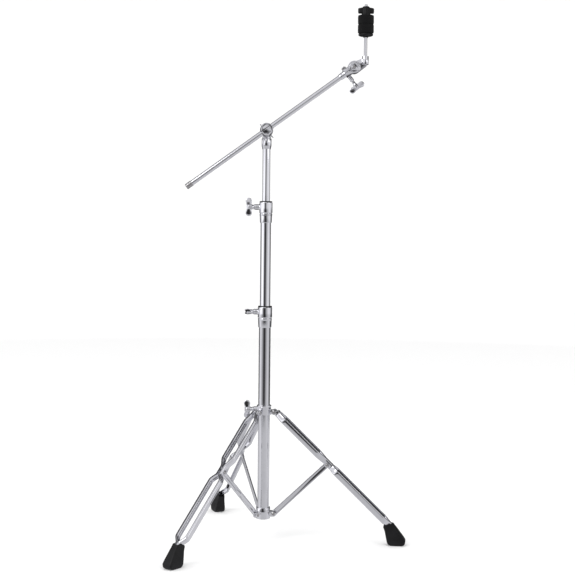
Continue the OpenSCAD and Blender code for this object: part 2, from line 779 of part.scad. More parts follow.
module tilter_screw() {
    head = tilt_head_r;
    color(dark_chrome) on_arm() translate([0, -ring_w / 2 - face_gap - cap_seat, 0])
        rotate([90, 0, 0]) difference() {
            union() {
                rotate_extrude() polygon([[0, 0], [head, 0], [head, 1.4], [head - 1, 2.4], [0, 2.4]]);
                translate([0, 0, -tilt_screw_len]) cylinder(r = tilt_screw_r, h = tilt_screw_len + cut);
            }
            translate([-0.5, -head, 1.4]) cube([1, 2 * head, 2]);
            translate([-head, -0.5, 1.4]) cube([2 * head, 1, 2]);
        }
}

module cymbal_rod() {
    low = socket_low + socket_floor + 0.2;
    color(chrome) on_arm() translate([post_off, 0, 0]) union() {
        translate([0, 0, low]) cylinder(d = post_d, h = nut_top - low);
        translate([0, 0, nut_top - cut]) cylinder(d = tip_d, h = rod_tip + cut);
    }
}

module on_post() {
    on_arm() translate([post_off, 0, 0]) children();
}

module seat_washer() {
    neck_r = seat_sleeve_r - 0.3;
    rim_r = seat_d / 2;
    color(black) on_post() translate([0, 0, seat_z]) difference() {
        rotate_extrude() polygon([[0, -3], [neck_r, -3], [neck_r + 0.5, 0], [rim_r - 2.5, 0],
            [rim_r, 2], [rim_r, seat_t - 0.8], [rim_r - 0.8, seat_t], [0, seat_t]]);
        translate([0, 0, -6]) cylinder(r = post_d / 2 + seat_gap, h = 4 * seat_t);
    }
}

module seat_sleeve() {
    color(black) on_post() translate([0, 0, seat_z + seat_t]) difference() {
        union() {
            cylinder(r = seat_sleeve_r + sleeve_rim, h = sleeve_rim_t);
            cylinder(r = seat_sleeve_r, h = 2 * felt_t - sleeve_rim_t);
        }
        translate([0, 0, -cut]) cylinder(r = post_d / 2 + seat_gap, h = 3 * felt_t);
    }
}

// A felt washer with its rim a little rounded
module felt(z) {
    r = felt_d / 2;
    color(black) on_post() translate([0, 0, z]) rotate_extrude() polygon([
        [felt_bore_r, felt_rim], [r - 2, 0], [r - 0.5, 0.8], [r, 2.5], [r, felt_t - 2.5],
        [r - 0.5, felt_t - 0.8], [r - 2, felt_t], [felt_bore_r, felt_t - felt_rim]]);
}

module lower_felt() { felt(felt_z); }

module upper_felt() { felt(felt_z + felt_t + felt_part); }

module cymbal_nut() {
    side = nut_w / 2;
    color(black) on_post() translate([0, 0, nut_z]) difference() {
        union() {
            rotate_extrude() polygon([[0, 0], [nut_hub_r, 0], [nut_hub_r, nut_h - 4],
                [nut_hub_r - 4, nut_h], [0, nut_h]]);
            rotate([90, 0, 0]) linear_extrude(height = nut_t, center = true) polygon([
                [-side + 1.5, 4], [side - 1.5, 4], [side, 5.5], [side, nut_h - 5.5],
                [side - 2, nut_h - 4], [0, nut_h - 1.5], [-side + 2, nut_h - 4],
                [-side, nut_h - 5.5], [-side, 5.5]]);
        }
        translate([0, 0, -cut]) cylinder(r = post_d / 2 + run_gap, h = nut_h + 2 * cut);
    }
}

base_tube();
tube_plug();
hub();
hub_rivets();
lower_clamp();
leg_collar();
collar_liner();
collar_screw();
leg_bar(1, 1);  // leg_1_bar_left
leg_bar(1, -1);  // leg_1_bar_right
leg_rivets(1);  // leg_1_rivets
leg_foot(1);  // leg_1_foot
stay(1);  // stay_1
leg_bar(2, 1);  // leg_2_bar_left
leg_bar(2, -1);  // leg_2_bar_right
leg_rivets(2);  // leg_2_rivets
leg_foot(2);  // leg_2_foot
stay(2);  // stay_2
leg_bar(3, 1);  // leg_3_bar_left
leg_bar(3, -1);  // leg_3_bar_right
leg_rivets(3);  // leg_3_rivets
leg_foot(3);  // leg_3_foot
stay(3);  // stay_3
lower_bush();
lower_screw();
mid_tube();
upper_clamp();
upper_bush();
upper_screw();
upper_tube();
boom_base();
friction_ring();
boom_drum();
boom_stud();
boom_wing_nut();
boom_bush();
boom_rod();
tail_cap();
tilter_clamp();
tilter_bolt();
tilter_nut();
tilter_arm();
tilter_cap();
tilter_screw();
cymbal_rod();
seat_washer();
seat_sleeve();
lower_felt();
upper_felt();
cymbal_nut();
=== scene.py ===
"""Looks of a folding cymbal boom stand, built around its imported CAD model.

Every length is in metres in the model's own frame: +Z up, +X the way the boom
reaches, the origin on the floor under the tubes.
"""

import json
import logging
import math
from dataclasses import dataclass
from enum import Enum
from typing import Sequence

import bmesh
import bpy
import numpy as np
from mathutils import Matrix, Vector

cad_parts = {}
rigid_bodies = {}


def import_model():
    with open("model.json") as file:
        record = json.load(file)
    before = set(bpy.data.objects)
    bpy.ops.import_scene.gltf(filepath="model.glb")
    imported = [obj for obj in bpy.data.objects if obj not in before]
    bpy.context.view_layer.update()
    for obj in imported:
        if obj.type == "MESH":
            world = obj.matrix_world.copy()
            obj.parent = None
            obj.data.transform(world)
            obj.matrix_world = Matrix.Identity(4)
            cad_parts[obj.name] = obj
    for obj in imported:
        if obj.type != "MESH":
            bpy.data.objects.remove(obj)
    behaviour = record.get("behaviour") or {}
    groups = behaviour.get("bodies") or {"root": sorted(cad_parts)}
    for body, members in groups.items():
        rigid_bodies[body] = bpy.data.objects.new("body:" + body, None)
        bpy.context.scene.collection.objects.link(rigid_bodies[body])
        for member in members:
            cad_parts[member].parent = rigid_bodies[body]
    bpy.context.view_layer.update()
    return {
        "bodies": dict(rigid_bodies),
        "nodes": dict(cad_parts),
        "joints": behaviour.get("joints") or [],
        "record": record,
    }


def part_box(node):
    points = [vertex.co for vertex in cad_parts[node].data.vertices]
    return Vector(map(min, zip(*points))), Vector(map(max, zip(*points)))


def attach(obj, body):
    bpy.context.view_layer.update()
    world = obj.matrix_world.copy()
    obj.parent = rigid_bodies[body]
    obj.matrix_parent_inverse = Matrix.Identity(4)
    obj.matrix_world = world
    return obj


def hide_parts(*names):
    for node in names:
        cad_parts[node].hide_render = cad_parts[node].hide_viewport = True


LOG = logging.getLogger("cymbal_stand")
MM = 0.001
TAU = 2.0 * math.pi
Array = np.ndarray
ACROSS = np.array([0.0, 1.0, 0.0])  # the direction the boom and its clamp turn about


# ---------------------------------------------------------------- shader kit


class Wire:
    """One socket's value, with the arithmetic that shader maths needs."""

    def __init__(self, graph: "Graph", socket: bpy.types.NodeSocket) -> None:
        """Wrap a socket of a graph."""
        self.graph = graph
        self.socket = socket

    def _math(self, operation: str, first: object, second: object) -> "Wire":
        """Add one Math node and return its result."""
        return self.graph.node(
            "ShaderNodeMath", {"operation": operation}, {0: first, 1: second}
        )

    def __add__(self, other: object) -> "Wire":
        """Sum."""
        return self._math("ADD", self, other)

    def __sub__(self, other: object) -> "Wire":
        """Difference."""
        return self._math("SUBTRACT", self, other)

    def __rsub__(self, other: object) -> "Wire":
        """Difference from a number."""
        return self._math("SUBTRACT", other, self)

    def __mul__(self, other: object) -> "Wire":
        """Product."""
        return self._math("MULTIPLY", self, other)

    __radd__ = __add__
    __rmul__ = __mul__


class Graph:
    """The node tree of one material."""

    def __init__(self, name: str) -> None:
        """Start a material of that name with an empty tree.

        Args:
            name: the material's name.
        """
        self.material = bpy.data.materials.new(name)
        self.material.use_nodes = True
        self.tree = self.material.node_tree
        self.tree.nodes.clear()

    def node(
        self,
        kind: str,
        settings: dict[str, object] | None = None,
        inputs: dict[object, object] | None = None,
        output: object = 0,
    ) -> Wire:
        """Add a node.

        Args:
            kind: the node's type.
            settings: its properties, and "stops" for a colour ramp.
            inputs: a value or a wire for each of its sockets.
            output: the socket that is handed back.

        Returns:
            The chosen output as a wire.
        """
        made = self.tree.nodes.new(kind)
        for key, value in (settings or {}).items():
            if key == "stops":
                ramp = made.color_ramp
                while len(ramp.elements) < len(value):
                    ramp.elements.new(0.5)
                for element, (place, colour) in zip(ramp.elements, value):
                    element.position = place
                    element.color = (*colour, 1.0)
            else:
                setattr(made, key, value)
        for key, value in (inputs or {}).items():
            if isinstance(value, Wire):
                self.tree.links.new(value.socket, made.inputs[key])
            else:
                made.inputs[key].default_value = value
        return Wire(self, made.outputs[output])

    def noise(
        self, scale: float, detail: float = 3.0, stretch: Sequence[float] = (1, 1, 1)
    ) -> Wire:
        """Noise on the object's own coordinates.

        Args:
            scale: how many features there are in a metre.
            detail: how many finer octaves are added.
            stretch: how much tighter the features are along X, Y and Z.

        Returns:
            A value from 0 to 1.
        """
        place = self.node("ShaderNodeTexCoord", output="Object")
        place = self.node("ShaderNodeMapping", inputs={"Vector": place, "Scale": stretch})
        return self.node(
            "ShaderNodeTexNoise", inputs={"Vector": place, "Scale": scale, "Detail": detail}
        )

    def mix(self, factor: Wire, first: Sequence[float], second: Sequence[float]) -> Wire:
        """Blend two colours by a factor."""
        return self.node(
            "ShaderNodeMix",
            {"data_type": "RGBA"},
            {0: factor, 6: (*first, 1.0), 7: (*second, 1.0)},
            output=2,
        )

    def band(self, value: Wire, low: float, high: float) -> Wire:
        """Stretch the part of a value between low and high over 0 to 1."""
        return self.node(
            "ShaderNodeMapRange",
            {"interpolation_type": "SMOOTHSTEP"},
            {"Value": value, "From Min": low, "From Max": high},
        )

    def finish(self, sockets: dict[str, object]) -> bpy.types.Material:
        """Close the tree with its surface.

        Args:
            sockets: values and wires for the surface shader.

        Returns:
            The finished material.
        """
        surface = self.node("ShaderNodeBsdfPrincipled", inputs=sockets)
        out = self.tree.nodes.new("ShaderNodeOutputMaterial")
        self.tree.links.new(surface.socket, out.inputs["Surface"])
        return self.material


# ------------------------------------------------------------------ finishes


@dataclass(frozen=True)
class Plating:
    """Polished or satin metal plating with faint polishing marks and handling film."""

    name: str
    colour: tuple[float, float, float]
    dull: tuple[float, float, float]
    rough: float
    film: float
    bump: float = 0.00002
    grain: tuple[float, float, float] = (1, 1, 1)

    def material(self) -> bpy.types.Material:
        """Build the material.

        Returns:
            Metal whose gloss drifts over a hand's width and is scuffed finely.
        """
        g = Graph(self.name)
        film = g.band(g.noise(38.0, 4.0, self.grain), 0.35, 0.72)
        scuff = g.band(g.noise(900.0, 2.0, self.grain), 0.55, 0.8)
        ripple = g.noise(140.0, 2.0, self.grain)
        bump = g.node(
            "ShaderNodeBump",
            inputs={"Strength": 0.35, "Distance": self.bump, "Height": ripple + scuff * 0.3},
        )
        return g.finish(
            {
                "Base Color": g.mix(film * 0.6 + scuff * 0.2, self.colour, self.dull),
                "Metallic": 1.0,
                "Roughness": film * self.film + scuff * (self.film * 0.5) + self.rough,
                "Normal": bump,
            }
        )


@dataclass(frozen=True)
class Moulding:
    """Black moulded nylon or rubber."""

    name: str
    colour: tuple[float, float, float]
    worn: tuple[float, float, float]
    rough: float
    swing: float
    pebble: float
    bump: float

    def material(self) -> bpy.types.Material:
        """Build the material.

        Returns:
            A black plastic with a fine moulded grain and paler, dusty patches.
        """
        g = Graph(self.name)
        dust = g.band(g.noise(55.0, 5.0), 0.4, 0.75)
        grain = g.noise(self.pebble, 2.0)
        bump = g.node(
            "ShaderNodeBump", inputs={"Strength": 0.5, "Distance": self.bump, "Height": grain}
        )
        return g.finish(
            {
                "Base Color": g.mix(dust * 0.7 + grain * 0.2, self.colour, self.worn),
                "Roughness": dust * self.swing + grain * 0.1 + self.rough,
                "Specular IOR Level": 0.3,
                "Normal": bump,
            }
        )


@dataclass(frozen=True)
class Felt:
    """Pressed black felt, matted fibres with a soft bloom."""

    name: str = "pressed_felt"

    def material(self) -> bpy.types.Material:
        """Build the material.

        Returns:
            A matt black cloth with fibres at two scales.
        """
        g = Graph(self.name)
        fibre = g.noise(2600.0, 4.0, (1, 1, 2.5))
        tuft = g.noise(420.0, 3.0, (1, 1, 1.8))
        bump = g.node(
            "ShaderNodeBump",
            inputs={"Strength": 0.9, "Distance": 0.0006, "Height": fibre * 0.6 + tuft},
        )
        return g.finish(
            {
                "Base Color": g.mix(
                    g.band(fibre * 0.6 + tuft * 0.4, 0.3, 0.75), (0.002,) * 3, (0.010, 0.010, 0.011)
                ),
                "Roughness": 0.97,
                "Specular IOR Level": 0.1,
                "Sheen Weight": 0.03,
                "Sheen Roughness": 0.6,
                "Normal": bump,
            }
        )


@dataclass(frozen=True)
class StudioPaper:
    """Plain pale paper for the floor and the backdrop."""

    name: str = "studio_paper"

    def material(self) -> bpy.types.Material:
        """Build the material.

        Returns:
            A matt off-white with a barely visible tooth.
        """
        g = Graph(self.name)
        tooth = g.noise(60.0, 2.0)
        return g.finish(
            {"Base Color": g.mix(tooth, (0.93, 0.93, 0.93), (0.95, 0.95, 0.95)), "Roughness": 0.9}
        )


class Finish(Enum):
    """The finishes of the stand, by the slot they belong to."""

    CHROME = "chrome"
    STEEL = "steel"
    NYLON = "nylon"
    RUBBER = "rubber"
    FELT = "felt"


RECIPES = {
    Finish.CHROME: Plating(
        "polished_chrome", (0.80, 0.80, 0.83), (0.74, 0.74, 0.77), 0.035, 0.045, 0.000006
    ),
    Finish.STEEL: Plating(
        "nickel_steel", (0.50, 0.49, 0.49), (0.36, 0.35, 0.36), 0.2, 0.16, 0.00004, (1, 1, 4)
    ),
    Finish.NYLON: Moulding(
        "moulded_nylon", (0.002, 0.002, 0.0025), (0.007, 0.007, 0.008), 0.38, 0.14, 1500.0, 0.00012
    ),
    Finish.RUBBER: Moulding(
        "moulded_rubber", (0.002, 0.002, 0.0025), (0.008, 0.008, 0.010), 0.40, 0.14, 900.0, 0.0003
    ),
    Finish.FELT: Felt(),
}


# --------------------------------------------------------------- surface kit


@dataclass
class Shell:
    """One closed surface: its points and its faces."""

    points: Array
    quads: Array
    fans: Array

    def volume(self) -> float:
        """Signed volume, positive where the faces point outwards."""
        q, p = self.quads, self.points
        tris = np.concatenate([q[:, [0, 1, 2]], q[:, [0, 2, 3]], self.fans])
        a, b, c = p[tris[:, 0]], p[tris[:, 1]], p[tris[:, 2]]
        return float(np.einsum("ij,ij->", a, np.cross(b, c)) / 6.0)

    def placed(self, place: Array) -> "Shell":
        """The same surface carried by a 4 by 4 transform, with its faces outwards."""
        moved = Shell(self.points @ place[:3, :3].T + place[:3, 3], self.quads, self.fans)
        centre = moved.points.mean(0)
        if Shell(moved.points - centre, self.quads, self.fans).volume() < 0:
            moved.quads, moved.fans = self.quads[:, ::-1], self.fans[:, ::-1]
        return moved


def loft(rings: Array, closed: bool = False) -> Shell:
    """Skin a stack of rings.

    Each ring is a closed loop of as many points. Neighbours are joined by quads, and
    the first and last rings are closed by a fan to their centres, or to each other.

    Args:
        rings: points in an array of ring, place round the ring, and x, y, z.
        closed: the last ring joins the first, as on a tube with a bore.

    Returns:
        The closed surface.
    """
    m, n = rings.shape[:2]
    index = np.arange(m * n).reshape(m, n)
    lower, upper = (index, np.roll(index, -1, 0)) if closed else (index[:-1], index[1:])
    quads = np.stack(
        [lower, np.roll(lower, -1, 1), np.roll(upper, -1, 1), upper], axis=-1
    ).reshape(-1, 4)
    points = rings.reshape(-1, 3)
    fans = np.zeros((0, 3), int)
    if not closed:
        points = np.concatenate([points, rings[[0, -1]].mean(1)])
        first, last = index[0], index[-1]
        fans = np.concatenate(
            [
                np.stack([np.roll(first, -1), first, np.full(n, m * n)], 1),
                np.stack([last, np.roll(last, -1), np.full(n, m * n + 1)], 1),
            ]
        )
    return Shell(points, quads, fans)


def soften(
    corners: Sequence[Sequence[float]], radius: float, loop: bool = False, steps: int = 5
) -> Array:
    """Round every corner of a flat line.

    A corner is replaced by a quadratic curve from a point before it to one after it,
    at most 45% of the way to the next corner.

    Args:
        corners: the line's corners.
        radius: how far from a corner its curve starts.
        loop: the line closes on itself.
        steps: points in each curve.

    Returns:
        The rounded line.
    """
    p = np.asarray(corners, float)
    before, after = np.roll(p, 1, 0) - p, np.roll(p, -1, 0) - p
    size_b = np.linalg.norm(before, axis=1, keepdims=True) + 1e-12
    size_a = np.linalg.norm(after, axis=1, keepdims=True) + 1e-12
    a = p + before / size_b * np.minimum(radius, 0.45 * size_b)
    b = p + after / size_a * np.minimum(radius, 0.45 * size_a)
    t = np.linspace(0, 1, steps)[None, :, None]
    curves = (1 - t) ** 2 * a[:, None] + 2 * t * (1 - t) * p[:, None] + t**2 * b[:, None]
    if loop:
        return curves.reshape(-1, 2)
    return np.concatenate([p[:1], curves[1:-1].reshape(-1, 2), p[-1:]])


def lathe(
    profile: Array,
    closed: bool = False,
    segments: int = 72,
    flute: float = 0.0,
    flutes: int = 0,
) -> Shell:
    """Turn a profile of radius and height about Z.

    Args:
        profile: radius and height pairs; a closed one makes a ring with a bore.
        closed: the profile is a loop.
        segments: places round the axis.
        flute: how deep the flutes round the rim are.
        flutes: how many there are.

    Returns:
        The turned surface.
    """
    angle = np.linspace(0, TAU, segments, endpoint=False)
    r, z = profile[:, 0:1], profile[:, 1:2]
    wave = 1.0 - flute * (0.5 - 0.5 * np.cos(angle * flutes))[None, :]
    rings = np.stack([r * np.cos(angle) * wave, r * np.sin(angle) * wave, z + 0 * angle], -1)
    return loft(rings, closed)


def turned(
    corners: Sequence[Sequence[float]],
    radius: float = 0.6,
    closed: bool = False,
    segments: int = 72,
) -> Shell:
    """Turn a profile given in millimetres after rounding its corners.

    Args:
        corners: radius and height pairs in millimetres.
        radius: rounding of the corners in millimetres.
        closed: the profile is a loop.
        segments: places round the axis.

    Returns:
        The turned surface, in metres.
    """
    line = soften(corners, radius, loop=closed)
    return lathe(line * MM, closed, segments)


def pillow(
    outline: Array, thick: float, edge: float = 6.0, dish: float = 0.0, rings: int = 14
) -> Shell:
    """A flat body with a rounded rim, from an outline that is star-shaped about its centre.

    A point is the outline's own scaled by v, at plus or minus half the thickness times
    the root of 1 - v to the power of edge, thinned in a band by the dish.

    Args:
        outline: x and z pairs round the body.
        thick: thickness along Y.
        edge: how late the rim rounds off.
        dish: share of the thickness lost inside the rim.
        rings: rings from the middle to the rim.

    Returns:
        The closed body.
    """
    v = np.sin(np.linspace(0.04, 0.5 * math.pi, rings))
    half = 0.5 * thick * np.sqrt(np.clip(1 - v**edge, 0, 1))
    half = half * (1 - dish * np.exp(-(((v - 0.74) / 0.16) ** 2)))
    v = np.concatenate([v, v[-2::-1]])
    y = np.concatenate([half, -half[-2::-1]])
    stack = np.empty((len(v), len(outline), 3))
    stack[..., 0] = v[:, None] * outline[None, :, 0]
    stack[..., 2] = v[:, None] * outline[None, :, 1]
    stack[..., 1] = y[:, None]
    return loft(stack)


def average(line: Array, window: int) -> Array:
    """A moving average of a line that already carries its padding.

    Args:
        line: the values, padded at both ends by half the window.
        window: the bell-shaped window's width, with its two zero ends.

    Returns:
        The smoothed values, without the padding.
    """
    kernel = np.hanning(window)[1:-1]
    return np.convolve(line, kernel / kernel.sum(), "valid")


def shift(x: float = 0.0, y: float = 0.0, z: float = 0.0) -> Array:
    """A move, in millimetres, as a 4 by 4 transform."""
    return np.array(Matrix.Translation((x * MM, y * MM, z * MM)))


def spin(degrees: float, axis: str) -> Array:
    """A turn about a main axis as a 4 by 4 transform."""
    return np.array(Matrix.Rotation(math.radians(degrees), 4, axis))


def frame_at(origin: Array, x: Array, y: Array) -> Array:
    """The transform whose origin, X and Y axes are given."""
    place = np.eye(4)
    x, y = x / np.linalg.norm(x), y / np.linalg.norm(y)
    place[:3, 0], place[:3, 1], place[:3, 2], place[:3, 3] = x, y, np.cross(x, y), origin
    return place


# ------------------------------------------------------------------ workshop


class Workshop:
    """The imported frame, its joints and the finishes, shared by every sub-assembly."""

    def __init__(self, frame: dict) -> None:
        """Take the loaded frame and mix the finishes.
        """
        self.nodes = frame["nodes"]
        self.joints = {row["name"]: row for row in frame["joints"]}
        self.finishes = {finish: RECIPES[finish].material() for finish in Finish}
        self.slots = {row["node"]: row["material_slot"] for row in frame["record"]["subparts"]}
        self.mounts = {row["name"]: np.array(row["pos_m"]) for row in frame["record"]["mounts"]}

    def pivot(self, joint: str) -> Array:
        """Where a joint sits, in metres."""
        return np.array(self.joints[joint]["pos_m"], float)

    def axis(self, joint: str) -> Array:
        """Which way a joint's axis points."""
        return np.array(self.joints[joint]["axis"], float)

    def dress(self, thing: bpy.types.Object, finish: Finish) -> None:
        """Give an object one finish on all its faces."""
        thing.data.materials.clear()
        thing.data.materials.append(self.finishes[finish])

    def dress_node(self, node: str) -> None:
        """Dress a CAD node that stays in sight, by its slot."""
        self.dress(self.nodes[node], Finish(self.slots[node]))
        LOG.info("dressed %s", node)

    def make(
        self,
        name: str,
        shells: Sequence[Shell],
        body: str,
        finish: Finish,
        stands_for: Sequence[str] = (),
        sharp: float = 38.0,
    ) -> bpy.types.Object:
        """Make one piece of closed surfaces and hang it on its body.

        Args:
            name: the piece's name.
            shells: its surfaces, already in place.
            body: the CAD body it moves with.
            finish: its finish.
            stands_for: CAD nodes it replaces.
            sharp: edges that turn more than this many degrees stay crisp.

        Returns:
            The new object.
        """
        sizes = np.cumsum([0] + [len(shell.points) for shell in shells])
        faces: list[list[int]] = []
        for shell, start in zip(shells, sizes):
            faces += (shell.quads + start).tolist() + (shell.fans + start).tolist()
        mesh = bpy.data.meshes.new(name)
        mesh.from_pydata(np.concatenate([s.points for s in shells]).tolist(), [], faces)
        mesh.validate()
        mesh.polygons.foreach_set("use_smooth", np.ones(len(mesh.polygons), bool))
        mesh.set_sharp_from_angle(angle=math.radians(sharp))
        made = bpy.data.objects.new(name, mesh)
        bpy.context.scene.collection.objects.link(made)
        self._hang(made, body, finish, stands_for)
        return made

    def soften_copy(
        self, node: str, body: str, width: float, name: str | None = None
    ) -> bpy.types.Object:
        """Copy a cast or pressed CAD node and break its edges with a small bevel.

        Args:
            node: the CAD node, which the copy replaces.
            body: the CAD body it moves with.
            width: width of the broken edge, in metres.
            name: the piece's name, or the node's with "_cast" added.

        Returns:
            The new object.
        """
        made = bpy.data.objects.new(name or f"{node}_cast", self.nodes[node].data.copy())
        bpy.context.scene.collection.objects.link(made)
        mesh = made.data
        work = bmesh.new()
        work.from_mesh(mesh)
        bmesh.ops.remove_doubles(work, verts=work.verts, dist=1e-6)
        bmesh.ops.dissolve_limit(
            work, angle_limit=math.radians(1.0), verts=work.verts, edges=work.edges
        )
        work.to_mesh(mesh)
        work.free()
        bevel = made.modifiers.new("broken_edges", "BEVEL")
        bevel.width, bevel.segments, bevel.angle_limit = width, 2, math.radians(38.0)
        bevel.limit_method, bevel.harden_normals = "ANGLE", False
        bpy.context.view_layer.update()
        graph = bpy.context.evaluated_depsgraph_get()
        final = bpy.data.meshes.new_from_object(made.evaluated_get(graph))
        made.modifiers.clear()
        made.data = final
        final.polygons.foreach_set("use_smooth", np.ones(len(final.polygons), bool))
        final.set_sharp_from_angle(angle=math.radians(32.0))
        self._hang(made, body, Finish(self.slots[node]), (node,))
        return made

    def _hang(
        self, made: bpy.types.Object, body: str, finish: Finish, stands_for: Sequence[str]
    ) -> None:
        """Dress a new piece, ride it on its body and hide the CAD nodes it replaces."""
        self.dress(made, finish)
        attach(made, body)
        if stands_for:
            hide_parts(*stands_for)
        LOG.info("made %s on %s", made.name, body)


# --------------------------------------------------------------- wing screws


@dataclass(frozen=True)
class WingScrew:
    """A cast wing screw or wing nut: shank, flange, cone, hub and two round wings.

    Sizes are in millimetres; the axis is +Z and the wings lie in the XZ plane.
    """

    shank_r: float
    reach: float
    span: float = 45.0
    length: float = 17.0
    thick: float = 4.5
    flange_z: float | None = None
    shank_z: float = 0.0

    def outline(self, count: int = 192) -> Array:
        """The wings' outline about the middle of the hub.

        In each direction it is the farther of a lobe's far side and of the web
        between the lobes, smoothed round the loop so that they flow together.

        Args:
            count: points round the outline.

        Returns:
            x and z pairs in metres.
        """
        lobe = 0.47 * self.length
        offset = self.span / 2 - lobe
        angle = np.linspace(0, TAU, count, endpoint=False)
        c, s = np.abs(np.cos(angle)), np.sin(angle)
        under = lobe**2 - (offset * s) ** 2
        far = np.where(under > 0, offset * c + np.sqrt(np.abs(under)), 0)
        web_height = np.where(s > 0, 0.74, 0.9) * lobe
        web = np.minimum(web_height / (np.abs(s) + 1e-6), offset / (c + 1e-6))
        radius = np.maximum(far, web)
        radius = average(np.r_[radius[-5:], radius, radius[:5]], 13)
        return np.stack([radius * np.cos(angle), radius * s], 1) * MM

    def shells(self, place: Array, bore_r: float | None = None) -> list[Shell]:
        """Work out the surfaces.

        Args:
            place: where the screw's own frame goes.
            bore_r: the radius of a wing nut's bore, or None for a screw.

        Returns:
            Wings, and a turned body with its shank.
        """
        hub = self.shank_r + 2.0
        wings = pillow(self.outline(), self.thick * MM, 2.6, 0.1)
        wings = wings.placed(shift(z=self.reach + self.length / 2))
        top = self.reach + 0.62 * self.length
        if bore_r is not None:
            body = turned(
                [
                    (bore_r, self.shank_z), (hub + 2, self.shank_z), (hub + 1.8, self.shank_z + 2),
                    (hub, self.reach + 1), (hub, top + 3), (bore_r, top + 3),
                ],
                1.0, closed=True,
            )
            return [wings.placed(place), body.placed(place)]
        flange = self.flange_z if self.flange_z is not None else self.reach - 6
        body = turned(
            [
                (0, self.shank_z), (self.shank_r, self.shank_z), (self.shank_r, flange - 0.2),
                (self.shank_r + 2.2, flange), (self.shank_r + 2.2, flange + 2.2),
                (self.shank_r + 0.4, flange + 2.6), (self.shank_r + 0.6, self.reach - 3),
                (hub, self.reach), (hub, top - 1), (hub - 1.5, top + 0.8), (0, top + 1.2),
            ],
            0.7,
        )
        return [wings.placed(place), body.placed(place)]


# --------------------------------------------------------------- base tripod


